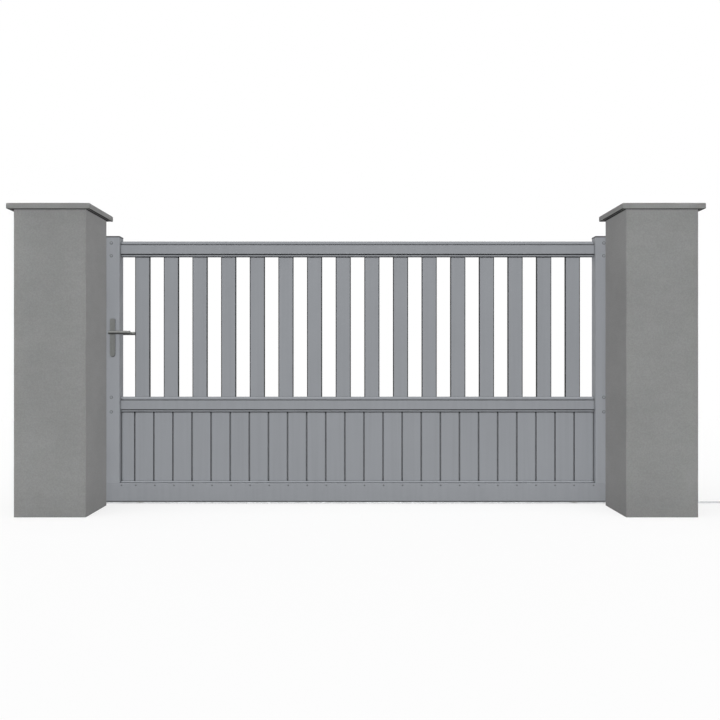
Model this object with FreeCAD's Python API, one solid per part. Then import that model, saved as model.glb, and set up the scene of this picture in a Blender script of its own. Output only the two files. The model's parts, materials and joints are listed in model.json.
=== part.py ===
import FreeCAD, Part
import math
import os

# Sliding driveway gate: a slatted leaf that rolls on a ground track behind two masonry pillars.
# Millimetres. X runs along the opening, towards the side the leaf opens to; Y runs from the street
# into the property; Z is up. The origin is on the ground, on the centre line of the track, in the
# middle of the opening. The leaf is drawn closed.

# opening and pillars
opening_width = 3000.0
pillar_width = 400.0
pillar_depth = 400.0
pillar_rise = 85.0
pillar_corner = 4.0
cap_overhang = 30.0
cap_thickness = 30.0
cap_arris = 3.0
drip_inset = 10.0
drip_width = 8.0
drip_depth = 5.0

# leaf frame
leaf_gap = 40.0
leaf_bottom = 15.0
leaf_top = 1625.0
leaf_shift = 9.5
stile_show = 57.5
stile_width = 100.0
stile_depth = 85.0
stile_wall = 2.5
stile_corner = 3.0
stile_cap_thickness = 3.0
stile_plug_depth = 12.0
plug_play = 0.3
bottom_rail_height = 110.0
bottom_rail_wall = 3.0
bottom_rail_foot = 12.0
bottom_lip_height = 10.0
bottom_lip_slope = 6.0
bottom_reveal = 2.0
end_cap_thickness = 3.0

# middle and top rails
rail_depth = 65.0
rail_box_height = 54.0
rail_wall = 2.5
rail_corner = 2.0
lip_depth = 11.5
lip_wall = 1.5
upper_lip_height = 22.0
upper_lip_slope = 8.0
lower_lip_height = 15.0
lower_lip_slope = 3.0
reveal_height = 5.5
reveal_depth = 6.0
mid_rail_height = 600.0
top_rail_drop = 79.0
cover_thickness = 2.0
cover_leg = 10.0

# infill
infill_thickness = 20.0
infill_play = 1.0
seat_play = 1.0
slat_width = 93.0
slat_space = 82.2
slat_wall = 1.5
slat_corner = 6.0
board_cover = 116.7
board_wall = 1.5
board_arris = 2.0
board_play = 0.5
board_reveal = 6.0
tongue_length = 13.0
tongue_thickness = 5.0

# track, wheels and stop
track_radius = 10.0
track_lead = 27.0
wheel_inset = 220.0
wheel_seat_radius = 38.0
wheel_rim_radius = 45.0
wheel_width = 30.0
wheel_web = 12.0
wheel_tread = 6.0
wheel_draft = 2.0
wheel_hub_radius = 16.0
running_gap = 0.3
axle_radius = 6.0
axle_play = 0.1
axle_head = 3.0
axle_head_height = 5.0
carrier_wall = 4.0
carrier_fold = 4.0
carrier_length = 110.0
carrier_play = 2.0
carrier_skirt = 16.0
travel_reserve = 16.0
stop_gap = 5.0
buffer_length = 12.0
buffer_radius = 18.0
buffer_nose = 4.0
buffer_height = 70.0
stop_plate = 8.0
stop_width = 60.0
stop_height = 100.0
stop_foot = 90.0
stop_rib_length = 72.0
stop_rib_height = 90.0

# upper guide
channel_width = 50.0
channel_height = 42.0
channel_wall = 3.0
channel_fold = 2.0
channel_start = 43.0
channel_tail = 298.0
channel_drop = 33.0
roller_play = 0.5
roller_height = 30.0
roller_arris = 3.0
roller_lift = 5.0
roller_first = 88.0
roller_spacing = 140.0
guide_plate = 6.0
guide_width = 240.0
guide_start = 100.0
guide_headroom = 15.0
guide_skirt = 40.0
guide_top_margin = 10.0
guide_reach = 27.5
bolt_radius = 6.0
bolt_head_radius = 9.5
bolt_head_height = 7.5
collar_radius = 10.0
collar_height = 8.0

# closing catches on the left pillar
catch_length = 120.0
catch_plate = 4.0
catch_base = 95.0
catch_side_play = 5.0
catch_end_play = 12.0
catch_cheek = 25.0
catch_fold = 3.0
catch_lead = 9.0
catch_flare = 5.0
lower_catch_height = 250.0
upper_catch_height = 1180.0

# lever handle
handle_inset = 41.0
handle_height = 1039.0
plate_width = 30.0
plate_above = 84.0
plate_below = 144.0
plate_thickness = 8.0
plate_top_corner = 4.0
lever_radius = 11.0
lever_neck_radius = 8.5
lever_edge = 1.5
lever_heel = 12.0
lever_reach = 50.0
lever_length = 118.0
neck_play = 0.2
lever_collar_radius = 12.0
lever_collar_height = 4.0
collar_gap = 0.5
spindle_side = 8.0
spindle_play = 0.1
spindle_grip = 22.0
spindle_hole_radius = 7.0

# values that follow from the ones above
V = FreeCAD.Vector
half_opening = opening_width / 2
half_depth = stile_depth / 2
inner_left = leaf_shift - half_opening + stile_show
inner_right = leaf_shift + half_opening - stile_show
inner_width = inner_right - inner_left
leaf_left = inner_left - stile_width
leaf_right = inner_right + stile_width
bottom_rail_top = leaf_bottom + bottom_rail_height
pillar_height = leaf_top + pillar_rise
pillar_back = -half_depth - leaf_gap
rail_back = half_depth
rail_front = rail_back - rail_depth
infill_middle = (rail_front + rail_back) / 2
infill_front = infill_middle - infill_thickness / 2
infill_back = infill_middle + infill_thickness / 2
top_rail_height = leaf_top - top_rail_drop
handle_x = inner_left - handle_inset
leaf_travel = half_opening - (handle_x + lever_length) - travel_reserve
axle_height = track_radius + running_gap + wheel_seat_radius
track_start = leaf_left - track_lead
track_end = leaf_right + leaf_travel + stop_gap + buffer_length
channel_top = leaf_top - channel_drop
channel_bottom = channel_top - channel_height
guide_line = rail_back + channel_width / 2
shelf_bottom = leaf_top + guide_headroom


def plan(u, v):
    return V(u, v, 0)


def section(u, v):
    return V(0, u, v)


def front(u, v):
    return V(u, 0, v)


def block(x0, x1, y0, y1, z0, z1):
    return Part.makeBox(x1 - x0, y1 - y0, z1 - z0, V(x0, y0, z0))


def outline(corners, place):
    """Closed wire through (u, v, radius) corners, each rounded by its radius."""
    arcs = []
    for index, (u, v, radius) in enumerate(corners):
        corner = V(u, v, 0)
        before = V(*corners[index - 1][:2], 0) - corner
        after = V(*corners[(index + 1) % len(corners)][:2], 0) - corner
        if radius == 0:
            arcs.append((corner, None, corner))
            continue
        before.normalize()
        after.normalize()
        half_angle = before.getAngle(after) / 2
        inward = before + after
        inward.normalize()
        cut = radius / math.tan(half_angle)
        middle = corner + inward * (radius / math.sin(half_angle) - radius)
        arcs.append((corner + before * cut, middle, corner + after * cut))
    edges = []
    for index, (start, middle, end) in enumerate(arcs):
        last = arcs[index - 1][2]
        if last.distanceToPoint(start) > 1e-6:
            edges.append(Part.makeLine(place(last.x, last.y), place(start.x, start.y)))
        if middle is not None:
            points = [place(p.x, p.y) for p in (start, middle, end)]
            edges.append(Part.Arc(*points).toShape())
    return Part.Wire(Part.__sortEdges__(edges))


def rectangle(u0, u1, v0, v1, radius, place):
    corners = [(u0, v0, radius), (u1, v0, radius), (u1, v1, radius), (u0, v1, radius)]
    return outline(corners, place)


def extrusion(outer, holes, start, along):
    """Solid with a constant section: the outer wire less the holes, moved to start."""
    face = Part.makeFace(Part.Compound([outer] + holes), "Part::FaceMakerBullseye")
    solid = face.extrude(along)
    solid.translate(start)
    return solid


def turned(profile, centre, axis):
    """Solid of revolution from (radius, height) points, standing on centre along axis."""
    points = [V(r, 0, h) for r, h in profile]
    face = Part.Face(Part.makePolygon(points + points[:1]))
    solid = face.revolve(V(0, 0, 0), V(0, 0, 1), 360)
    solid.Placement = FreeCAD.Placement(centre, FreeCAD.Rotation(V(0, 0, 1), axis))
    return solid


def joined(first, *others):
    return first.fuse(list(others)).removeSplitter()


def group(solids):
    return Part.Compound(solids)


# pillars
def pillar(x0):
    y0 = pillar_back - pillar_depth
    wire = rectangle(x0, x0 + pillar_width, y0, pillar_back, pillar_corner, plan)
    return extrusion(wire, [], V(0, 0, 0), V(0, 0, pillar_height))


def slab_ring(x0, x1, y0, y1, width, z0, z1):
    outer = block(x0, x1, y0, y1, z0, z1)
    return outer.cut(block(x0 + width, x1 - width, y0 + width, y1 - width, z0, z1))


def pillar_cap(x0):
    left = x0 - cap_overhang
    right = x0 + pillar_width + cap_overhang
    street = pillar_back - pillar_depth - cap_overhang
    yard = pillar_back + cap_overhang
    top = pillar_height + cap_thickness
    slab = block(left, right, street, yard, pillar_height, top)
    upper = [e for e in slab.Edges if abs(e.CenterOfMass.z - top) < 0.01]
    slab = slab.makeChamfer(cap_arris, upper)
    groove = slab_ring(left + drip_inset, right - drip_inset, street + drip_inset, yard - drip_inset,
                       drip_width, pillar_height, pillar_height + drip_depth)
    return slab.cut(groove)


# ground track and its end stop
def ground_track():
    arc = Part.Arc(section(-track_radius, 0), section(0, track_radius), section(track_radius, 0))
    flat = Part.makeLine(section(track_radius, 0), section(-track_radius, 0))
    wire = Part.Wire([arc.toShape(), flat])
    return extrusion(wire, [], V(track_start, 0, 0), V(track_end - track_start, 0, 0))


def open_stop():
    back = track_end + stop_plate
    half = stop_width / 2
    upright = block(track_end, back, -half, half, 0, stop_height)
    foot = block(back, back + stop_foot, -half, half, 0, stop_plate)
    rib = outline([(back, stop_plate, 0), (back + stop_rib_length, stop_plate, 0),
                   (back, stop_rib_height, 0)], front)
    web = extrusion(rib, [], V(0, -stop_plate / 2, 0), V(0, stop_plate, 0))
    return joined(upright, foot, web)


def stop_buffer():
    profile = [(0, 0), (buffer_radius, 0), (buffer_radius, buffer_length - buffer_nose),
               (buffer_radius - buffer_nose, buffer_length), (0, buffer_length)]
    return turned(profile, V(track_end, 0, buffer_height), V(-1, 0, 0))


# catch that holds the leading stile when the leaf is closed
def catch(z0):
    """Folded plate on the pillar with two cheeks, flared at the mouth, that take in the stile."""
    web_right = leaf_left - catch_end_play
    web_left = web_right - catch_plate
    tip = web_right + catch_cheek
    inner = half_depth + catch_side_play
    outer = inner + catch_plate
    base_back = pillar_back + catch_plate
    base_left = web_right - catch_base
    mouth = tip - catch_lead
    bend = catch_fold + catch_plate
    corners = [(base_left, pillar_back, 0), (web_right, pillar_back, bend), (web_right, -outer, 0),
               (mouth, -outer, 0), (tip, -outer - catch_flare, 0), (tip, -inner - catch_flare, 0),
               (mouth, -inner, 0), (web_right, -inner, 0), (web_right, inner, catch_fold),
               (mouth, inner, 0), (tip, inner + catch_flare, 0), (tip, outer + catch_flare, 0),
               (mouth, outer, 0), (web_left, outer, bend), (web_left, base_back, catch_fold),
               (base_left, base_back, 0)]
    return extrusion(outline(corners, plan), [], V(0, 0, z0), V(0, 0, catch_length))


# upper guide on the right pillar
guide_left = half_opening + guide_start
guide_right = guide_left + guide_width
roller_places = [leaf_right + roller_first, leaf_right + roller_first + roller_spacing]
roller_bottom = channel_bottom + channel_wall + roller_lift


def guide_bracket():
    plate_back = pillar_back + guide_plate
    shelf_top = shelf_bottom + guide_plate
    plate_top = pillar_height - guide_top_margin
    plate = block(guide_left, guide_right, pillar_back, plate_back,
                  shelf_bottom - guide_skirt, plate_top)
    shelf = block(guide_left, guide_right, plate_back, guide_line + guide_reach,
                  shelf_bottom, shelf_top)
    rib = outline([(plate_back, shelf_top, 0), (guide_line, shelf_top, 0),
                   (guide_line, shelf_top + guide_plate, 0), (plate_back, plate_top, 0)], section)
    ribs = [extrusion(rib, [], V(x, 0, 0), V(guide_plate, 0, 0))
            for x in (guide_left, guide_right - guide_plate)]
    bracket = joined(plate, shelf, *ribs)
    for x in roller_places:
        hole = Part.makeCylinder(bolt_radius + axle_play, guide_plate, V(x, guide_line, shelf_bottom))
        bracket = bracket.cut(hole)
    return bracket


def guide_roller(x):
    radius = channel_width / 2 - channel_wall - roller_play
    bore = bolt_radius + axle_play
    profile = [(bore, 0), (radius - roller_arris, 0), (radius, roller_arris),
               (radius, roller_height - roller_arris), (radius - roller_arris, roller_height),
               (bore, roller_height)]
    return turned(profile, V(x, guide_line, roller_bottom), V(0, 0, 1))


def guide_bolt(x):
    length = shelf_bottom + guide_plate - roller_bottom
    under = shelf_bottom - roller_bottom
    profile = [(0, 0), (bolt_radius, 0), (bolt_radius, roller_height),
               (collar_radius, roller_height), (collar_radius, roller_height + collar_height),
               (bolt_radius, roller_height + collar_height), (bolt_radius, under - collar_height),
               (collar_radius, under - collar_height), (collar_radius, under), (bolt_radius, under),
               (bolt_radius, length), (bolt_head_radius, length),
               (bolt_head_radius, length + bolt_head_height), (0, length + bolt_head_height)]
    return turned(profile, V(x, guide_line, roller_bottom), V(0, 0, 1))


def guide_channel():
    w = channel_wall
    y0 = rail_back
    y1 = rail_back + channel_width
    floor = channel_bottom + w
    bend = channel_fold + w
    corners = [(y0, channel_bottom, bend), (y1, channel_bottom, bend), (y1, channel_top, 0),
               (y1 - w, channel_top, 0), (y1 - w, floor, channel_fold), (y0 + w, floor, channel_fold),
               (y0 + w, channel_top, 0), (y0, channel_top, 0)]
    start = leaf_left + channel_start
    length = leaf_right + channel_tail - start
    return extrusion(outline(corners, section), [], V(start, 0, 0), V(length, 0, 0))


# leaf frame
def stile(x0):
    x1 = x0 + stile_width
    outer = rectangle(x0, x1, -half_depth, half_depth, stile_corner, plan)
    hole = rectangle(x0 + stile_wall, x1 - stile_wall, stile_wall - half_depth,
                     half_depth - stile_wall, stile_corner / 2, plan)
    height = leaf_top - stile_cap_thickness - bottom_rail_top
    return extrusion(outer, [hole], V(0, 0, bottom_rail_top), V(0, 0, height))


def left_stile():
    bore = Part.makeCylinder(spindle_hole_radius, stile_depth, V(handle_x, -half_depth, handle_height),
                             V(0, 1, 0))
    return stile(leaf_left).cut(bore)


def stile_cap(x0):
    base = leaf_top - stile_cap_thickness
    inset = stile_wall + plug_play
    outer = rectangle(x0, x0 + stile_width, -half_depth, half_depth, stile_corner, plan)
    lid = extrusion(outer, [], V(0, 0, base), V(0, 0, stile_cap_thickness))
    inner = rectangle(x0 + inset, x0 + stile_width - inset, inset - half_depth, half_depth - inset,
                      stile_corner / 2, plan)
    plug = extrusion(inner, [], V(0, 0, base - stile_plug_depth), V(0, 0, stile_plug_depth))
    return joined(lid, plug)


lip_faces = [(infill_front - infill_play - lip_depth, infill_front - infill_play),
             (infill_back + infill_play, infill_back + infill_play + lip_depth)]


def lip_outside(height, slope, reveal):
    """Outer face of a lip as (inward, rise) steps: a shadow groove, an upright and a sloped top."""
    return [(reveal_depth, 0), (reveal_depth, reveal), (0, reveal), (0, height - slope),
            (slope, height), (lip_depth, height)]


def lip_points(steps, side, up, base):
    outer = lip_faces[0][0] if side < 0 else lip_faces[1][1]
    return [(outer - side * inward, base + up * rise, 0) for inward, rise in steps]


def folded_lip(side, up, base, height, slope):
    """Section of one hollow lip of a rail, from its outer foot over its top to its inner foot."""
    w = lip_wall
    bevel = w * math.tan(math.pi / 8)
    foot = reveal_height + w
    inside = [(lip_depth, height - w), (slope + bevel, height - w), (w, height - slope - bevel),
              (w, foot), (reveal_depth + w, foot), (reveal_depth + w, 0)]
    return lip_points(lip_outside(height, slope, reveal_height) + inside, side, up, base)


def rail(middle):
    """Hollow rail with a pair of lips above and below that hold the infill."""
    low = middle - rail_box_height / 2
    high = middle + rail_box_height / 2
    under = (-1, low, lower_lip_height, lower_lip_slope)
    over = (1, high, upper_lip_height, upper_lip_slope)
    corners = [(rail_front, low, rail_corner)]
    corners += folded_lip(-1, *under) + folded_lip(1, *under)[::-1]
    corners += [(rail_back, low, rail_corner), (rail_back, high, rail_corner)]
    corners += folded_lip(1, *over) + folded_lip(-1, *over)[::-1]
    corners.append((rail_front, high, rail_corner))
    w = rail_wall
    hole = rectangle(rail_front + w, rail_back - w, low + w, high - w, 0, section)
    return extrusion(outline(corners, section), [hole], V(inner_left, 0, 0), V(inner_width, 0, 0))


def top_rail_cover():
    """Strip that closes the empty groove on top of the top rail."""
    top = top_rail_height + rail_box_height / 2 + upper_lip_height
    y0 = lip_faces[0][0] + upper_lip_slope
    y1 = lip_faces[1][1] - upper_lip_slope
    leg0 = lip_faces[0][1] + plug_play
    leg1 = lip_faces[1][0] - plug_play
    t = cover_thickness
    corners = [(y0, top), (leg0, top), (leg0, top - cover_leg), (leg0 + t, top - cover_leg),
               (leg0 + t, top), (leg1 - t, top), (leg1 - t, top - cover_leg), (leg1, top - cover_leg),
               (leg1, top), (y1, top), (y1, top + t), (y0, top + t)]
    wire = outline([(u, v, 0) for u, v in corners], section)
    return extrusion(wire, [], V(inner_left, 0, 0), V(inner_width, 0, 0))


def bottom_rail():
    """Rail that is open underneath for the wheels, with two low lips for the boards on top."""
    h = half_depth
    w = bottom_rail_wall
    top = bottom_rail_top
    foot = h - w - bottom_rail_foot
    low = leaf_bottom
    r = stile_corner
    corners = [(-h, low, r), (-foot, low, 0), (-foot, low + w, 0), (w - h, low + w, 0),
               (w - h, top - w, 0), (h - w, top - w, 0), (h - w, low + w, 0), (foot, low + w, 0),
               (foot, low, 0), (h, low, r), (h, top, r), (-h, top, r)]
    start = leaf_left + end_cap_thickness
    length = leaf_right - end_cap_thickness - start
    body = extrusion(outline(corners, section), [], V(start, 0, 0), V(length, 0, 0))
    bead = lip_outside(bottom_lip_height, bottom_lip_slope, bottom_reveal) + [(lip_depth, 0)]
    beads = []
    for side in (-1, 1):
        wire = outline(lip_points(bead, side, 1, top), section)
        beads.append(extrusion(wire, [], V(inner_left, 0, 0), V(inner_width, 0, 0)))
    return joined(body, *beads)


def bottom_rail_end_cap(x0):
    wire = rectangle(-half_depth, half_depth, leaf_bottom, bottom_rail_top, stile_corner, section)
    return extrusion(wire, [], V(x0, 0, 0), V(end_cap_thickness, 0, 0))


# slats and boards
slat_count = int((inner_width - slat_space) / (slat_width + slat_space) + 0.01)
slat_gap = (inner_width - slat_count * slat_width) / (slat_count + 1)
slat_bottom = mid_rail_height + rail_box_height / 2
slat_top = top_rail_height - rail_box_height / 2 - seat_play
board_top = mid_rail_height - rail_box_height / 2 - seat_play


def slat(index):
    x0 = inner_left + slat_gap + index * (slat_width + slat_gap)
    x1 = x0 + slat_width
    w = slat_wall
    outer = rectangle(x0, x1, infill_front, infill_back, slat_corner, plan)
    hole = rectangle(x0 + w, x1 - w, infill_front + w, infill_back - w, slat_corner - w, plan)
    return extrusion(outer, [hole], V(0, 0, slat_bottom), V(0, 0, slat_top - slat_bottom))


def board(x0, x1, groove, tongue):
    """Hollow board with a groove on its left edge and a tongue on its right edge."""
    a = board_arris
    w = board_wall
    middle = infill_middle
    slot = tongue_thickness / 2 + board_play
    depth = tongue_length - board_reveal + board_play
    left = [(x0, infill_back - a), (x0, infill_front + a)]
    hollow_left = x0 + a + w
    if groove:
        left = [(x0, infill_back - a), (x0, middle + slot), (x0 + depth, middle + slot),
                (x0 + depth, middle - slot), (x0, middle - slot), (x0, infill_front + a)]
        hollow_left = x0 + depth + w
    right = [(x1, infill_front + a), (x1, infill_back - a)]
    if tongue:
        half = tongue_thickness / 2
        right = [(x1, infill_front + a), (x1, middle - half), (x1 + tongue_length, middle - half),
                 (x1 + tongue_length, middle + half), (x1, middle + half), (x1, infill_back - a)]
    corners = left + [(x0 + a, infill_front), (x1 - a, infill_front)] + right
    corners += [(x1 - a, infill_back), (x0 + a, infill_back)]
    wire = outline([(u, v, 0) for u, v in corners], plan)
    hole = rectangle(hollow_left, x1 - a - w, infill_front + w, infill_back - w, 0, plan)
    return extrusion(wire, [hole], V(0, 0, bottom_rail_top), V(0, 0, board_top - bottom_rail_top))


def lower_boards():
    """Boards laid from the right stile; the last one on the left is cut to fit."""
    boards = []
    whole = int(inner_width / board_cover)
    for index in range(whole):
        x1 = inner_right - index * board_cover - (board_reveal if index > 0 else board_play)
        x0 = inner_right - (index + 1) * board_cover
        boards.append(board(x0, x1, True, index > 0))
    boards.append(board(inner_left + board_play, inner_right - whole * board_cover - board_reveal,
                        False, True))
    return group(boards)


# wheels under the leaf
wheel_places = {"left": leaf_left + wheel_inset, "right": leaf_right - wheel_inset}


def wheel(x):
    """Wheel with a round groove that straddles the track."""
    half = wheel_width / 2
    groove = track_radius + running_gap
    side = math.sqrt(groove ** 2 - (axle_height - wheel_rim_radius) ** 2)
    bore = axle_radius + axle_play
    web = wheel_web / 2
    hub = wheel_hub_radius
    inner_rim = wheel_seat_radius - wheel_tread
    web_rim = inner_rim - wheel_draft
    rim = [(wheel_rim_radius, -half), (inner_rim, -half), (web_rim, -web), (hub, -web), (hub, -half),
           (bore, -half), (bore, half), (hub, half), (hub, web), (web_rim, web), (inner_rim, half),
           (wheel_rim_radius, half), (wheel_rim_radius, side)]
    points = [V(0, h, r) for r, h in rim]
    edges = [Part.makeLine(points[i], points[i + 1]) for i in range(len(points) - 1)]
    last = V(0, -side, wheel_rim_radius)
    edges.append(Part.Arc(points[-1], V(0, 0, wheel_seat_radius), last).toShape())
    edges.append(Part.makeLine(last, points[0]))
    solid = Part.Face(Part.Wire(edges)).revolve(V(0, 0, 0), V(0, 1, 0), 360)
    solid.translate(V(x, 0, axle_height))
    return solid


def wheel_carrier(x):
    """Folded bracket inside the bottom rail that holds the axle."""
    inner = wheel_width / 2 + carrier_play
    outer = inner + carrier_wall
    top = bottom_rail_top - bottom_rail_wall
    ceiling = top - carrier_wall
    low = axle_height - carrier_skirt
    bend = carrier_fold + carrier_wall
    corners = [(-outer, low, 0), (-inner, low, 0), (-inner, ceiling, carrier_fold),
               (inner, ceiling, carrier_fold), (inner, low, 0), (outer, low, 0), (outer, top, bend),
               (-outer, top, bend)]
    bracket = extrusion(outline(corners, section), [], V(x - carrier_length / 2, 0, 0),
                        V(carrier_length, 0, 0))
    bore = Part.makeCylinder(axle_radius + axle_play, 2 * outer, V(x, -outer, axle_height), V(0, 1, 0))
    return bracket.cut(bore)


def wheel_axle(x):
    outer = wheel_width / 2 + carrier_play + carrier_wall
    end = outer + axle_head_height
    head = axle_radius + axle_head
    profile = [(0, -end), (head, -end), (head, -outer), (axle_radius, -outer), (axle_radius, outer),
               (head, outer), (head, end), (0, end)]
    return turned(profile, V(x, 0, axle_height), V(0, 1, 0))


# lever handle: side is -1 on the street face and 1 on the yard face
def handle_plate(side):
    half = plate_width / 2
    top = handle_height + plate_above
    low = handle_height - plate_below
    r = plate_top_corner
    corners = [(handle_x - half, low, half), (handle_x + half, low, half),
               (handle_x + half, top, r), (handle_x - half, top, r)]
    face = side * half_depth
    plate = extrusion(outline(corners, front), [], V(0, face, 0), V(0, side * plate_thickness, 0))
    bore = Part.makeCylinder(lever_neck_radius + neck_play, plate_thickness,
                             V(handle_x, face, handle_height), V(0, side, 0))
    return plate.cut(bore)


def lever(side):
    """Round neck through the plate that carries a straight round bar."""
    root = V(handle_x, side * (half_depth + collar_gap), handle_height)
    out = V(0, side, 0)
    neck = Part.makeCylinder(lever_neck_radius, lever_reach - collar_gap, root, out)
    collar = Part.makeCylinder(lever_collar_radius, lever_collar_height, root + out * plate_thickness, out)
    heel = V(handle_x - lever_heel, side * (half_depth + lever_reach), handle_height)
    bar = Part.makeCylinder(lever_radius, lever_heel + lever_length, heel, V(1, 0, 0))
    bar = bar.makeFillet(lever_edge, [e for e in bar.Edges if e.isClosed()])
    body = joined(neck, collar, bar)
    wide = spindle_side / 2 + spindle_play
    depth = spindle_grip + spindle_play
    start = min(root.y, root.y + side * depth)
    socket = block(handle_x - wide, handle_x + wide, start, start + depth,
                   handle_height - wide, handle_height + wide)
    return body.cut(socket)


def lever_spindle():
    half = spindle_side / 2
    end = half_depth + collar_gap + spindle_grip
    return block(handle_x - half, handle_x + half, -end, end, handle_height - half, handle_height + half)


# the parts
left_x = -half_opening - pillar_width
right_x = half_opening
parts = {
    "left_pillar": pillar(left_x),
    "left_pillar_cap": pillar_cap(left_x),
    "right_pillar": pillar(right_x),
    "right_pillar_cap": pillar_cap(right_x),
    "ground_track": ground_track(),
    "open_stop": open_stop(),
    "stop_buffer": stop_buffer(),
    "lower_catch": catch(lower_catch_height),
    "upper_catch": catch(upper_catch_height),
    "guide_bracket": guide_bracket(),
    "guide_rollers": group([guide_roller(x) for x in roller_places]),
    "guide_bolts": group([guide_bolt(x) for x in roller_places]),
    "guide_channel": guide_channel(),
    "left_stile": left_stile(),
    "right_stile": stile(inner_right),
    "stile_caps": group([stile_cap(leaf_left), stile_cap(inner_right)]),
    "top_rail": rail(top_rail_height),
    "top_rail_cover": top_rail_cover(),
    "mid_rail": rail(mid_rail_height),
    "bottom_rail": bottom_rail(),
    "bottom_rail_end_caps": group([bottom_rail_end_cap(x)
                                   for x in (leaf_left, leaf_right - end_cap_thickness)]),
    "lower_boards": lower_boards(),
    "wheel_axles": group([wheel_axle(x) for x in wheel_places.values()]),
    "front_handle_plate": handle_plate(-1),
    "back_handle_plate": handle_plate(1),
    "front_lever": lever(-1),
    "back_lever": lever(1),
    "lever_spindle": lever_spindle(),
}
for index in range(slat_count):
    parts["slat_%02d" % (index + 1)] = slat(index)
for name, x in wheel_places.items():
    parts[name + "_wheel"] = wheel(x)
    parts[name + "_wheel_carrier"] = wheel_carrier(x)

os.makedirs("parts", exist_ok=True)
for name, shape in parts.items():
    shape.exportStep("parts/" + name + ".step")
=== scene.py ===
import bpy
import bmesh
import json
import math
from mathutils import Matrix, Vector


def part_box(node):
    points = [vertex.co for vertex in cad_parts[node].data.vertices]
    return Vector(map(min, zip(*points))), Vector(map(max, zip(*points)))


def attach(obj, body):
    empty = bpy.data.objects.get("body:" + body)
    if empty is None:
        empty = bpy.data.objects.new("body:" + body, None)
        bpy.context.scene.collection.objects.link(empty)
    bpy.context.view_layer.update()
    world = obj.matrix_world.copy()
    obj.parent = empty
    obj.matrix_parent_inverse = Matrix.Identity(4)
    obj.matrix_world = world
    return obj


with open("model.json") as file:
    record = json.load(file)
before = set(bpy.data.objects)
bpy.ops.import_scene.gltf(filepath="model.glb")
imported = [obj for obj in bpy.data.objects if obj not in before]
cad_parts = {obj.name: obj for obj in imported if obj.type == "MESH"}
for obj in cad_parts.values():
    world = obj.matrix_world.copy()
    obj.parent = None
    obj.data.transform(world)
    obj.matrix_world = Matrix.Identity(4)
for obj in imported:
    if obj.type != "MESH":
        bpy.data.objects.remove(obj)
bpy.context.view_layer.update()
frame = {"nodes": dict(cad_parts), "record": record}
nodes = frame["nodes"]
scene = bpy.context.scene
scene.view_settings.view_transform = "Standard"


# node trees
class Graph:
    """The node tree of a material or a world, with short calls to add and link its nodes."""

    def __init__(self, owner):
        owner.use_nodes = True
        self.tree = owner.node_tree

    def add(self, kind, **settings):
        node = self.tree.nodes.new(kind)
        for key, value in settings.items():
            setattr(node, key, value)
        return node

    def link(self, source, target):
        """Feed a socket from another node, or set it to a constant."""
        if isinstance(source, (int, float, tuple)):
            target.default_value = source
        else:
            self.tree.links.new(source, target)

    def math(self, operation, a, b):
        node = self.add("ShaderNodeMath", operation=operation)
        self.link(a, node.inputs[0])
        self.link(b, node.inputs[1])
        return node.outputs["Value"]

    def span(self, value, between, gives, curve="SMOOTHSTEP"):
        """The value taken from one range to another, and held at its ends."""
        node = self.add("ShaderNodeMapRange", interpolation_type=curve)
        sockets = ("From Min", "From Max", "To Min", "To Max")
        for socket, number in zip(sockets, between + gives):
            node.inputs[socket].default_value = number
        self.link(value, node.inputs["Value"])
        return node.outputs["Result"]

    def mixed(self, factor, first, second):
        """Two shaders, from the first alone at factor 0 to the second alone at 1."""
        node = self.add("ShaderNodeMixShader")
        self.link(factor, node.inputs["Fac"])
        self.link(first, node.inputs[1])
        self.link(second, node.inputs[2])
        return node.outputs["Shader"]

    def seen_directly(self):
        """1 for camera, glossy and transmission rays, so that all of them meet the white background."""
        path = self.add("ShaderNodeLightPath").outputs
        total = path["Is Camera Ray"]
        for ray in ("Is Glossy Ray", "Is Transmission Ray"):
            total = self.math("MAXIMUM", total, path[ray])
        return total


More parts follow.
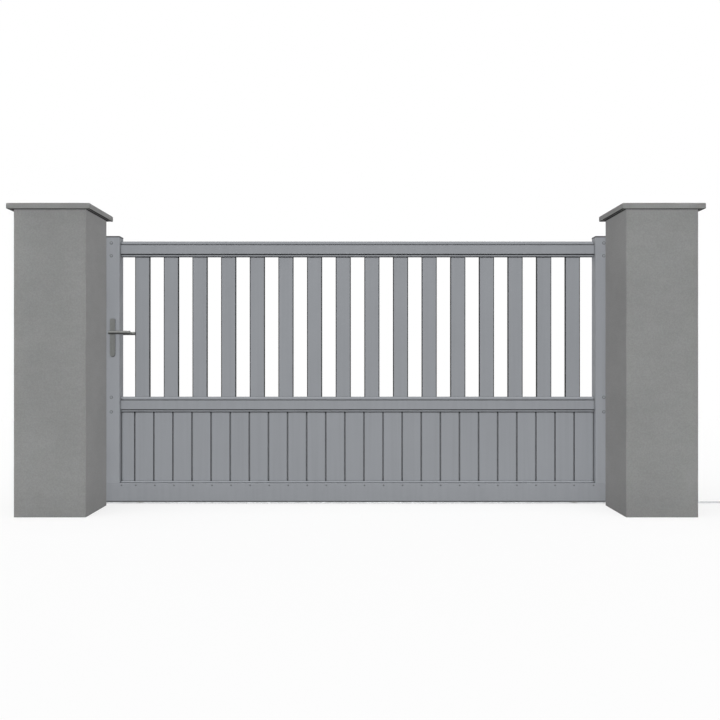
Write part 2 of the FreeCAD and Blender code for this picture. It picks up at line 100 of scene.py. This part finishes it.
class Shader(Graph):
    """A principled material whose textures are placed in metres."""

    noise_range = (0.3, 0.7)
    noise_roughness = 0.55
    crevice_samples = 6

    def __init__(self, name, roughness, metallic=0.0, specular=0.5):
        self.material = bpy.data.materials.new(name)
        super().__init__(self.material)
        self.bsdf = self.tree.nodes["Principled BSDF"]
        self.bsdf.inputs["Roughness"].default_value = roughness
        self.bsdf.inputs["Metallic"].default_value = metallic
        self.bsdf.inputs["Specular IOR Level"].default_value = specular
        self.place = self.add("ShaderNodeTexCoord").outputs["Object"]
        self.relief = None

    def stretched(self, x, y, z):
        """The place, with a scale of its own along each axis."""
        node = self.add("ShaderNodeMapping")
        node.inputs["Scale"].default_value = (x, y, z)
        self.link(self.place, node.inputs["Vector"])
        return node.outputs["Vector"]

    def noise(self, scale=1.0, detail=3, vector=None):
        node = self.add("ShaderNodeTexNoise")
        node.inputs["Scale"].default_value = scale
        node.inputs["Detail"].default_value = detail
        node.inputs["Roughness"].default_value = self.noise_roughness
        self.link(vector or self.place, node.inputs["Vector"])
        return node.outputs["Fac"]

    def cells(self, scale, output):
        node = self.add("ShaderNodeTexVoronoi")
        node.inputs["Scale"].default_value = scale
        self.link(self.place, node.inputs["Vector"])
        return node.outputs[output]

    def spread(self, noise, low, high):
        """A noise value, which lies mostly within noise_range, taken to low and high."""
        return self.span(noise, between=self.noise_range, gives=(low, high))

    def varied(self, noise, amount):
        """A noise value turned into a factor about 1 that swings by amount either way."""
        return self.spread(noise, 1 - amount, 1 + amount)

    def product(self, *values):
        total = values[0]
        for value in values[1:]:
            total = self.math("MULTIPLY", total, value)
        return total

    def height(self):
        node = self.add("ShaderNodeSeparateXYZ")
        self.link(self.place, node.inputs["Vector"])
        return node.outputs["Z"]

    def ragged_height(self, scale, detail, swing):
        """The height above the ground, made uneven by up to swing."""
        return self.math("ADD", self.height(), self.product(self.noise(scale, detail), swing))

    def normal(self):
        node = self.add("ShaderNodeSeparateXYZ")
        self.link(self.add("ShaderNodeNewGeometry").outputs["Normal"], node.inputs["Vector"])
        return node.outputs

    def facing_up(self):
        """1 on level tops, 0 on upright faces, -1 on undersides."""
        return self.normal()["Z"]

    def facing_sideways(self):
        """0 on faces to the street, the yard or the sky, 1 on faces that look along the opening."""
        return self.math("ABSOLUTE", self.normal()["X"], 0)

    def crevice_shade(self, reach, darkest, closed=0.15, opened=0.85):
        """A factor of painted shade for joints and corners narrower than reach."""
        node = self.add("ShaderNodeAmbientOcclusion", samples=self.crevice_samples)
        node.inputs["Distance"].default_value = reach
        return self.span(node.outputs["AO"], between=(closed, opened), gives=(darkest, 1.0))

    def tinted(self, colour, *factors):
        """The colour made lighter or darker by the factors, as the base colour."""
        node = self.add("ShaderNodeVectorMath", operation="SCALE")
        self.link(colour, node.inputs[0])
        self.link(self.product(*factors), node.inputs["Scale"])
        self.link(node.outputs["Vector"], self.bsdf.inputs["Base Color"])

    def rough(self, value):
        self.link(value, self.bsdf.inputs["Roughness"])

    def bump(self, height, strength, depth):
        """One more layer of relief, with its depth in metres."""
        node = self.add("ShaderNodeBump")
        node.inputs["Strength"].default_value = strength
        node.inputs["Distance"].default_value = depth
        self.link(height, node.inputs["Height"])
        if self.relief is not None:
            self.link(self.relief, node.inputs["Normal"])
        self.relief = node.outputs["Normal"]
        self.link(self.relief, self.bsdf.inputs["Normal"])


# materials
cement_grey = (0.214, 0.214, 0.213)
concrete_grey = (0.213, 0.213, 0.211)
leaf_grey = (0.258, 0.269, 0.287)
dull_zinc = (0.27, 0.278, 0.29)
worn_zinc = (0.42, 0.428, 0.44)
steel_grey = (0.4, 0.398, 0.39)
plate_grey = (0.172, 0.177, 0.172)
lever_grey = (0.2, 0.205, 0.197)
rivet_grey = (0.12, 0.125, 0.133)
cap_black = (0.035, 0.037, 0.04)
rubber_black = (0.03, 0.03, 0.032)
nylon_white = (0.62, 0.61, 0.57)


def cement_render():
    """Trowelled render with a splashed foot and faint rain streaks from the caps."""
    s = Shader("cement_render", roughness=0.9, specular=0.0)
    cloud = s.varied(s.noise(scale=2.2, detail=4), amount=0.04)
    trowel = s.varied(s.noise(vector=s.stretched(9, 9, 22)), amount=0.02)
    speck = s.varied(s.noise(scale=150), amount=0.06)
    splash = s.ragged_height(scale=7, detail=3, swing=0.16)
    foot = s.span(splash, between=(0.05, 0.3), gives=(0.9, 1.0))
    streak_length = 0.9
    streak = s.product(s.noise(vector=s.stretched(30, 30, 1.6)), streak_length)
    wash = s.span(s.math("SUBTRACT", s.height(), streak), between=(0.9, 1.5), gives=(1.0, 0.985))
    # the last factor paints shade into the render's corners and joints
    s.tinted(cement_grey, cloud, trowel, speck, foot, wash, s.crevice_shade(reach=0.012, darkest=0.35))
    s.rough(s.spread(s.noise(scale=60, detail=2), 0.84, 0.96))
    s.bump(s.noise(scale=26), strength=0.25, depth=0.0015)
    s.bump(s.noise(scale=520, detail=2), strength=0.35, depth=0.0007)
    return s.material


def cast_concrete():
    """Pitted concrete, darker on its weathered top, with painted shade under its overhang and in its joints,
    and lichen on top.
    """
    s = Shader("cast_concrete", roughness=0.88, specular=0.0)
    cloud = s.varied(s.noise(scale=4, detail=4), amount=0.05)
    grain = s.noise(scale=380)
    pits = s.span(s.cells(scale=170, output="Distance"), between=(0.05, 0.22), gives=(0.72, 1.0))
    top = s.span(s.facing_up(), between=(0.35, 0.7), gives=(1.0, 0.66))
    # painted shade on the undersides
    under = s.span(s.facing_up(), between=(-0.9, -0.4), gives=(0.16, 1.0))
    lichen = s.span(s.noise(scale=38, detail=5), between=(0.62, 0.72), gives=(1.0, 0.82))
    off_the_top = s.span(s.facing_up(), between=(0.3, 0.9), gives=(1.0, 0.0))
    growth = s.math("MAXIMUM", lichen, off_the_top)
    # painted shade in the joints
    joint = s.crevice_shade(reach=0.012, darkest=0.2)
    s.tinted(concrete_grey, cloud, s.varied(grain, amount=0.05), pits, top, under, growth, joint)
    s.bump(pits, strength=0.3, depth=0.0008)
    s.bump(grain, strength=0.35, depth=0.0006)
    return s.material


def powder_coat(name, side_shade=1.0, joint_shade=1.0, corner_shade=0.3, ledge_dust_and_light=1.08, shaded_edge=None):
    """Fine textured coating of the leaf, weathered.

    The factors paint shade on the sides that look along the opening, in narrow joints and in corners,
    and paint pale dust and light on ledges. A band of painted shade also runs along a lower edge, at
    the height given for it.
    """
    roughness = 0.55
    s = Shader(name, roughness=roughness, specular=0.15)
    fleck = s.varied(s.noise(scale=2400, detail=1), amount=0.035)
    cloud = s.varied(s.noise(scale=1.6), amount=0.02)
    streak = s.noise(detail=4, vector=s.stretched(38, 38, 1.1))
    run = s.span(streak, between=(0.35, 0.75), gives=(1.015, 0.97))
    splash = s.ragged_height(scale=20, detail=4, swing=0.12)
    foot = s.span(splash, between=(0.06, 0.2), gives=(0.95, 1.0))
    # pale dust and painted light on faces that look up
    dust_and_top_light = s.span(s.facing_up(), between=(0.5, 0.9), gives=(1.0, ledge_dust_and_light))
    # the crevice factor at the end paints shade into corners
    factors = [fleck, cloud, run, foot, dust_and_top_light, s.crevice_shade(reach=0.022, darkest=corner_shade)]
    # painted shade on the side faces that look along the opening
    if side_shade < 1:
        factors.append(s.span(s.facing_sideways(), between=(0.02, 0.18), gives=(1.0, side_shade)))
    # painted shade in narrow joints
    if joint_shade < 1:
        factors.append(s.crevice_shade(reach=0.012, darkest=joint_shade, closed=0.3, opened=0.55))
    # a band of painted shade along the lower edge, over the gap beneath it
    if shaded_edge is not None:
        shade_top = shaded_edge + 0.003
        unshaded_from = shaded_edge + 0.0055
        factors.append(s.span(s.height(), between=(shade_top, unshaded_from), gives=(0.08, 1.0)))
    s.tinted(leaf_grey, *factors)
    s.rough(s.spread(s.noise(scale=11), roughness - 0.05, roughness + 0.08))
    s.bump(s.noise(scale=650, detail=2), strength=0.12, depth=0.0003)
    return s.material


def galvanised(name, colour):
    """Zinc with its crystal pattern."""
    s = Shader(name, roughness=0.5, metallic=0.6)
    crystal = s.add("ShaderNodeSeparateColor")
    s.link(s.cells(scale=95, output="Color"), crystal.inputs["Color"])
    flake = s.span(crystal.outputs["Red"], between=(0.0, 1.0), gives=(0.9, 1.07))
    cloud = s.varied(s.noise(scale=9, detail=4), amount=0.08)
    # the last factor paints shade into corners and joints
    s.tinted(colour, flake, cloud, s.crevice_shade(reach=0.012, darkest=0.6))
    s.rough(s.span(crystal.outputs["Green"], between=(0.0, 1.0), gives=(0.47, 0.56)))
    s.bump(s.noise(scale=240, detail=2), strength=0.12, depth=0.0003)
    return s.material


def turned_steel():
    """Bright steel with fine rings from the lathe."""
    s = Shader("turned_steel", roughness=0.3, metallic=0.9)
    ring = s.noise(vector=s.stretched(60, 1400, 60))
    s.tinted(steel_grey, s.varied(ring, amount=0.1), s.varied(s.noise(scale=30, detail=4), amount=0.07))
    s.rough(s.spread(ring, 0.24, 0.42))
    s.bump(ring, strength=0.1, depth=0.0002)
    return s.material


def satin_metal(name, colour, grain, underside_shade_range):
    """Brushed metal along its grain. Undersides are painted darker as shade, over the given range of
    facing_up.
    """
    s = Shader(name, roughness=0.36, metallic=0.3)
    brush = s.noise(vector=s.stretched(*grain))
    worn = s.varied(s.noise(scale=60), amount=0.05)
    # painted shade on the undersides
    under = s.span(s.facing_up(), between=underside_shade_range, gives=(0.38, 1.0))
    # the last factor paints shade into crevices
    s.tinted(colour, s.varied(brush, amount=0.09), worn, under, s.crevice_shade(reach=0.006, darkest=0.5))
    s.rough(s.spread(brush, 0.3, 0.46))
    s.bump(brush, strength=0.1, depth=0.00015)
    return s.material


def moulded(name, colour, roughness):
    """Plastic or rubber with a fine moulded grain."""
    s = Shader(name, roughness=roughness, specular=0.35)
    grain = s.noise(scale=900, detail=2)
    s.tinted(colour, s.varied(s.noise(scale=25, detail=4), amount=0.07), s.varied(grain, amount=0.04))
    s.rough(s.spread(s.noise(scale=40), roughness - 0.07, roughness + 0.07))
    s.bump(grain, strength=0.2, depth=0.0003)
    return s.material


looks = {
    "render": cement_render(),
    "coping": cast_concrete(),
    "coated_aluminium": powder_coat("coated_aluminium"),
    "galvanised": galvanised("galvanised_steel", dull_zinc),
    "bright_steel": turned_steel(),
    "buffer_rubber": moulded("buffer_rubber", rubber_black, roughness=0.75),
    "nylon": moulded("nylon", nylon_white, roughness=0.5),
    "cap_plastic": moulded("cap_plastic", cap_black, roughness=0.55),
    "handle_plate": satin_metal("handle_plate", plate_grey, grain=(1500, 1500, 12), underside_shade_range=(-0.8, 0.0)),
    "lever": satin_metal("lever", lever_grey, grain=(12, 1500, 1500), underside_shade_range=(-0.5, 0.5)),
}
rivet_look = moulded("rivet", rivet_grey, roughness=0.5)
# slats with dark painted shade on their side faces
slat_look = powder_coat("coated_slat", side_shade=0.1)
own_looks = {
    # boards with painted shade on their sides and in their joints
    "lower_boards": powder_coat("coated_board", side_shade=0.45, joint_shade=0.2),
    # the mid rail, with more dust and painted light on its ledges
    "mid_rail": powder_coat("coated_mid_rail", ledge_dust_and_light=1.22),
    # the bottom rail, with weaker painted corner shade, more dust and painted light on its ledges, and a
    # band of painted shade along its lower edge
    "bottom_rail": powder_coat("coated_foot", corner_shade=0.65, ledge_dust_and_light=1.3,
                               shaded_edge=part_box("bottom_rail")[0][2]),
    "ground_track": galvanised("zinc_track", worn_zinc),
}
for part in frame["record"]["subparts"]:
    node = part["node"]
    look = own_looks.get(node, looks[part["material_slot"]])
    if node.startswith("slat_"):
        look = slat_look
    mesh = nodes[node].data
    mesh.materials.clear()
    mesh.materials.append(look)


# small fittings: screws, rivets, bolts and plugs, each kind one joined mesh
def lathe(bm, centre, axis, profile, sides):
    """A turned form from (radius, height) points, standing on centre along axis."""
    turn = Vector((0, 0, 1)).rotation_difference(Vector(axis)).to_matrix().to_4x4()
    move = Matrix.Translation(Vector(centre)) @ turn
    rings = []
    for radius, height in profile:
        ring = []
        for k in range(sides):
            angle = math.tau * k / sides
            point = Vector((radius * math.cos(angle), radius * math.sin(angle), height))
            ring.append(bm.verts.new(move @ point))
        rings.append(ring)
    for low, high in zip(rings, rings[1:]):
        join_rings(bm, low, high)
    bm.faces.new(rings[-1])
    bm.faces.new(list(reversed(rings[0])))


def join_rings(bm, low, high):
    """A band of faces between two rings of points."""
    count = len(low)
    for k in range(count):
        after = (k + 1) % count
        bm.faces.new((low[k], low[after], high[after], high[k]))


def dome(radius, rise, steps=5):
    """Profile of a low round head, with an upright rim below and a small flat on top."""
    rim = 0.25 * rise
    profile = [(radius, 0)]
    for k in range(steps):
        angle = math.pi / 2 * k / steps
        profile.append((radius * math.cos(angle), rim + (rise - rim) * math.sin(angle)))
    return profile


def rivet(bm, centre, axis):
    lathe(bm, centre, axis, dome(radius=0.005, rise=0.0018), sides=20)


def plug(bm, centre, axis):
    lathe(bm, centre, axis, dome(radius=0.0072, rise=0.0022), sides=32)


shade_ring_radius = 0.009


def plug_shade_ring(bm, centre, axis):
    """A dark ring round a plug, crowned at its rim, which paints the shade of the gap round the plug."""
    rim_height = 0.0008
    crown = (0.0085, 0.0012)
    recess = (0.0078, 0.0005)
    lathe(bm, centre, axis, [(shade_ring_radius, 0), (shade_ring_radius, rim_height), crown, recess], sides=32)


def hex_bolt(bm, centre, axis):
    """A chamfered bolt head on a washer."""
    washer_radius = 0.012
    washer_height = 0.0025
    bevel = 0.0005
    head_radius = 0.0088
    head_top = 0.009
    chamfer_width = 0.0012
    chamfer_height = 0.0008
    washer = [(washer_radius, 0), (washer_radius, washer_height - bevel),
              (washer_radius - bevel, washer_height)]
    head = [(head_radius, washer_height), (head_radius, head_top - chamfer_height),
            (head_radius - chamfer_width, head_top)]
    lathe(bm, centre, axis, washer, sides=32)
    lathe(bm, centre, axis, head, sides=6)


def socket_screw(bm, centre, axis):
    """A low screw head with a round socket."""
    radius = 0.0046
    rim_height = 0.0005
    crown_radius = 0.0036
    height = 0.0014
    socket_radius = 0.002
    socket_floor = 0.0004
    profile = [(radius, 0), (radius, rim_height), (crown_radius, height),
               (socket_radius, height), (socket_radius, socket_floor)]
    lathe(bm, centre, axis, profile, sides=24)


crease_angle = math.radians(35)


def place_mesh(name, body, bm, look):
    """The finished mesh as a piece that rides on a body."""
    mesh = bpy.data.meshes.new(name)
    bm.to_mesh(mesh)
    bm.free()
    mesh.materials.append(look)
    mesh.polygons.foreach_set("use_smooth", [True] * len(mesh.polygons))
    mesh.set_sharp_from_angle(angle=crease_angle)
    obj = bpy.data.objects.new(name, mesh)
    scene.collection.objects.link(obj)
    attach(obj, body)


def fitting(name, body, slot, shape, places, axis, look=None):
    """One piece made of the same shape at many places."""
    bm = bmesh.new()
    for centre in places:
        shape(bm, centre, axis)
    place_mesh(name, body, bm, look or looks[slot])


def middle_x(node):
    low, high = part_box(node)
    return (low[0] + high[0]) / 2


street = (0, -1, 0)
yard = (0, 1, 0)
up = (0, 0, 1)
stiles = ("left_stile", "right_stile")
mid_low, mid_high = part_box("mid_rail")
top_low, top_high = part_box("top_rail")
rail_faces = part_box("bottom_rail")
stile_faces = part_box("left_stile")

# rivets below the boards, along the top of the bottom rail
rivet_pitch = 0.1155
rivet_start = 0.0515
rivets_each_way = 12
rivet_drop = 0.011
end_rivet_inset = 0.012
rivet_height = stile_faces[0][2] - rivet_drop
rivet_row = [mid_low[0] + end_rivet_inset, mid_high[0] - end_rivet_inset]
for step in range(-rivets_each_way, rivets_each_way):
    rivet_row.append(rivet_start + step * rivet_pitch)

# plugs over the screws that join the rails to the stiles, near each rail's lower and upper edge
plug_inset = 0.0015
top_plug_drop = 0.012
plug_levels = (mid_low[2] + plug_inset, mid_high[2] - plug_inset,
               top_low[2] + plug_inset, top_high[2] - top_plug_drop)
plug_places = [(middle_x(stile), level) for stile in stiles for level in plug_levels]
channel_low, channel_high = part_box("guide_channel")


def under_channel(z):
    """Whether the guide channel lies over a plug at this height on the yard side."""
    return channel_low[2] - shade_ring_radius < z < channel_high[2] + shade_ring_radius


# each side of the leaf, with the way that it faces and the corner of a box that lies on it
for side, axis, corner in (("street", street, 0), ("yard", yard, 1)):
    rivets = [(x, rail_faces[corner][1], rivet_height) for x in rivet_row]
    fitting("bottom_rail_rivets_" + side, "leaf", "coated_aluminium", rivet, rivets, axis, rivet_look)
    open_places = [(x, z) for x, z in plug_places if axis == street or not under_channel(z)]
    plugs = [(x, stile_faces[corner][1], z) for x, z in open_places]
    fitting("stile_plugs_" + side, "leaf", "coated_aluminium", plug, plugs, axis)
    # dark rings round the plugs, as painted shade of the gaps round them
    fitting("stile_plug_shade_rings_" + side, "leaf", "cap_plastic", plug_shade_ring, plugs, axis)

# dark rims of the stile caps, which lap over the top of each stile as a band of painted shade under each lid
rim_height = 0.0075
rim_proud = 0.0012
rim_corner = 0.004
rim_gap = 0.0001
rim_round = 0.0005
corner_steps = 4


def rim_ring(bm, low, high, grow, level):
    """One ring of points around a stile at a level, with rounded corners."""
    left = low[0] + rim_corner
    right = high[0] - rim_corner
    front = low[1] + rim_corner
    back = high[1] - rim_corner
    reach = rim_corner + grow
    ring = []
    for k, (x, y) in enumerate(((right, back), (left, back), (left, front), (right, front))):
        for step in range(corner_steps + 1):
            angle = math.pi / 2 * (k + step / corner_steps)
            point = (x + reach * math.cos(angle), y + reach * math.sin(angle), level)
            ring.append(bm.verts.new(point))
    return ring


def cap_rim(name, stile):
    bm = bmesh.new()
    low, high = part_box(stile)
    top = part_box("stile_caps")[1][2]
    foot = top - rim_height
    section = [(rim_gap, foot), (rim_proud - rim_round, foot), (rim_proud, foot + rim_round),
               (rim_proud, top - rim_round), (rim_proud - rim_round, top), (rim_gap, top)]
    rings = [rim_ring(bm, low, high, grow, level) for grow, level in section]
    for inner, outer in zip(rings, rings[1:] + rings[:1]):
        join_rings(bm, inner, outer)
    bmesh.ops.recalc_face_normals(bm, faces=bm.faces)
    place_mesh(name, "leaf", bm, looks["cap_plastic"])


for stile in stiles:
    cap_rim(stile + "_cap_rim", stile)

# screws of the yard side handle plate
screw_top = 0.016
screw_low = 0.022
plate_low, plate_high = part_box("back_handle_plate")
screw_levels = (plate_high[2] - screw_top, plate_low[2] + screw_low)
screws = [(middle_x("back_handle_plate"), plate_high[1], z) for z in screw_levels]
fitting("handle_plate_screws", "leaf", "bright_steel", socket_screw, screws, yard)

# anchor bolts of the catches, on their plates
catch_plate = 0.004
catch_side = 0.04
catch_end = 0.03
for catch in ("lower_catch", "upper_catch"):
    low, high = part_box(catch)
    levels = (low[2] + catch_end, high[2] - catch_end)
    bolts = [(low[0] + catch_side, low[1] + catch_plate, z) for z in levels]
    fitting(catch + "_bolts", "posts", "galvanised", hex_bolt, bolts, yard)

# anchor bolts of the guide bracket, at two levels above its foot
bracket_plate = 0.006
bracket_inset = 0.045
bracket_levels = (0.02, 0.073)
low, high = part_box("guide_bracket")
columns = (low[0] + bracket_inset, high[0] - bracket_inset)
bolts = [(x, low[1] + bracket_plate, low[2] + level) for x in columns for level in bracket_levels]
fitting("guide_bracket_bolts", "posts", "galvanised", hex_bolt, bolts, yard)

# anchor bolts of the open stop, either side of the track's centre line
foot_plate = 0.008
foot_inset = 0.03
foot_side = 0.018
stop_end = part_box("open_stop")[1][0]
bolts = [(stop_end - foot_inset, y, foot_plate) for y in (-foot_side, foot_side)]
fitting("open_stop_bolts", "posts", "galvanised", hex_bolt, bolts, up)

# camera at the photograph's place, level and square to the gate
picture_side = 720
focal_pixels = 860.1
eye_column = 356.0
eye_row = 360.6
eye_distance = 5.2555
eye_height = 0.870
sensor_width = 36
far_limit = 200
camera = bpy.data.objects.new("camera", bpy.data.cameras.new("camera"))
camera.data.sensor_width = sensor_width
camera.data.lens = sensor_width * focal_pixels / picture_side
camera.data.shift_x = 0.5 - eye_column / picture_side
camera.data.shift_y = eye_row / picture_side - 0.5
camera.data.clip_end = far_limit
camera.location = (0, -eye_distance, eye_height)
camera.rotation_euler = (math.radians(90), 0, 0)
scene.collection.objects.link(camera)
scene.camera = camera

# studio: dim light from all round, a white background and a pale floor
white = (1.0, 1.0, 1.0, 1.0)
ambient_strength = 0.3
background_strength = 1.0
floor_tones = (0.3, 0.85)
fade_distances = (1.5, 9.0)
glow_shares = (0.76, 1.0)


def studio_world():
    world = bpy.data.worlds.new("studio")
    graph = Graph(world)
    graph.tree.nodes.clear()
    levels = []
    for strength in (ambient_strength, background_strength):
        node = graph.add("ShaderNodeBackground")
        graph.link(white, node.inputs["Color"])
        graph.link(strength, node.inputs["Strength"])
        levels.append(node.outputs["Background"])
    output = graph.add("ShaderNodeOutputWorld")
    graph.link(graph.mixed(graph.seen_directly(), *levels), output.inputs["Surface"])
    return world


def floor_look():
    """Matte, darker to bounced light than to the eye, with a glow that grows to white away from the gate."""
    material = bpy.data.materials.new("pale_floor")
    graph = Graph(material)
    graph.tree.nodes.clear()
    seen = graph.seen_directly()
    matte = graph.add("ShaderNodeBsdfDiffuse")
    tone = graph.span(seen, between=(0.0, 1.0), gives=floor_tones, curve="LINEAR")
    graph.link(tone, matte.inputs["Color"])
    glow = graph.add("ShaderNodeEmission")
    graph.link(white, glow.inputs["Color"])
    graph.link(background_strength, glow.inputs["Strength"])
    away = graph.add("ShaderNodeVectorMath", operation="LENGTH")
    graph.link(graph.add("ShaderNodeTexCoord").outputs["Object"], away.inputs[0])
    fade = graph.span(away.outputs["Value"], between=fade_distances, gives=glow_shares, curve="LINEAR")
    share = graph.math("MULTIPLY", fade, seen)
    output = graph.add("ShaderNodeOutputMaterial")
    surface = graph.mixed(share, matte.outputs["BSDF"], glow.outputs["Emission"])
    graph.link(surface, output.inputs["Surface"])
    return material


scene.world = studio_world()
floor_reach = 60
floor_drop = 0.0005
floor_corners = [(-floor_reach, -floor_reach, 0), (floor_reach, -floor_reach, 0),
                 (floor_reach, floor_reach, 0), (-floor_reach, floor_reach, 0)]
floor_mesh = bpy.data.meshes.new("floor")
floor_mesh.from_pydata(floor_corners, [], [(0, 1, 2, 3)])
floor_mesh.materials.append(floor_look())
floor = bpy.data.objects.new("floor", floor_mesh)
floor.location.z = -floor_drop
scene.collection.objects.link(floor)


# lamps, each linked to the pieces that it lights
def light_group(name, members, state="INCLUDE"):
    """A collection that says which pieces a lamp lights, or which ones it passes by."""
    collection = bpy.data.collections.new(name)
    for member in members:
        collection.objects.link(member)
    for member in collection.collection_objects:
        member.light_linking.link_state = state
    return collection


def sun(name, toward, strength, spread, lit, past=None, shadow=True):
    """A soft lamp for the pieces in lit, which the pieces in past do not shade."""
    lamp = bpy.data.lights.new(name, "SUN")
    lamp.energy = strength
    lamp.angle = math.radians(spread)
    lamp.use_shadow = shadow
    obj = bpy.data.objects.new(name, lamp)
    obj.rotation_euler = Vector(toward).to_track_quat("-Z", "Y").to_euler()
    scene.collection.objects.link(obj)
    obj.light_linking.receiver_collection = lit
    if past is not None:
        obj.light_linking.blocker_collection = past


from_right = (-0.99, 0.08, -0.12)
from_left = (0.99, 0.08, -0.12)
side_spread = 40


def side_suns(group, members, right, left, shadow):
    """Lamps from the right and the left, each with its strength, for faces that look along the opening."""
    lit = light_group(group, [nodes[name] for name in members])
    sun(group + "_right", from_right, right, side_spread, lit, past, shadow)
    sun(group + "_left", from_left, left, side_spread, lit, past, shadow)


pillars = ("left_pillar", "right_pillar")
caps = ("left_pillar_cap", "right_pillar_cap")
levers = ("front_lever", "back_lever")
track = nodes["ground_track"]
past = light_group("past", [nodes[name] for name in pillars + caps + levers], "EXCLUDE")
ground = light_group("ground", [floor])
object_only = light_group("object_only", [floor, track], "EXCLUDE")
track_only = light_group("track_only", [track])
key = {"toward": (0, 0.86, -0.5), "strength": 2.7, "spread": 20}
back = {"toward": (0, -0.8, -0.6), "strength": 2.5, "spread": 40}
sun("key", **key, lit=object_only, past=past)
sun("back", **back, lit=object_only, past=past)
sun("track_front", **key, lit=track_only, shadow=False)
sun("track_back", **back, lit=track_only, shadow=False)
sun("floor_top", toward=(0.15, 0.35, -0.92), strength=2.6, spread=70, lit=ground)
side_suns("pillars", pillars, right=2.08, left=1.83, shadow=False)
side_suns("caps", caps, right=2.4, left=2.1, shadow=True)
side_suns("stiles", stiles, right=0.75, left=1.2, shadow=False)
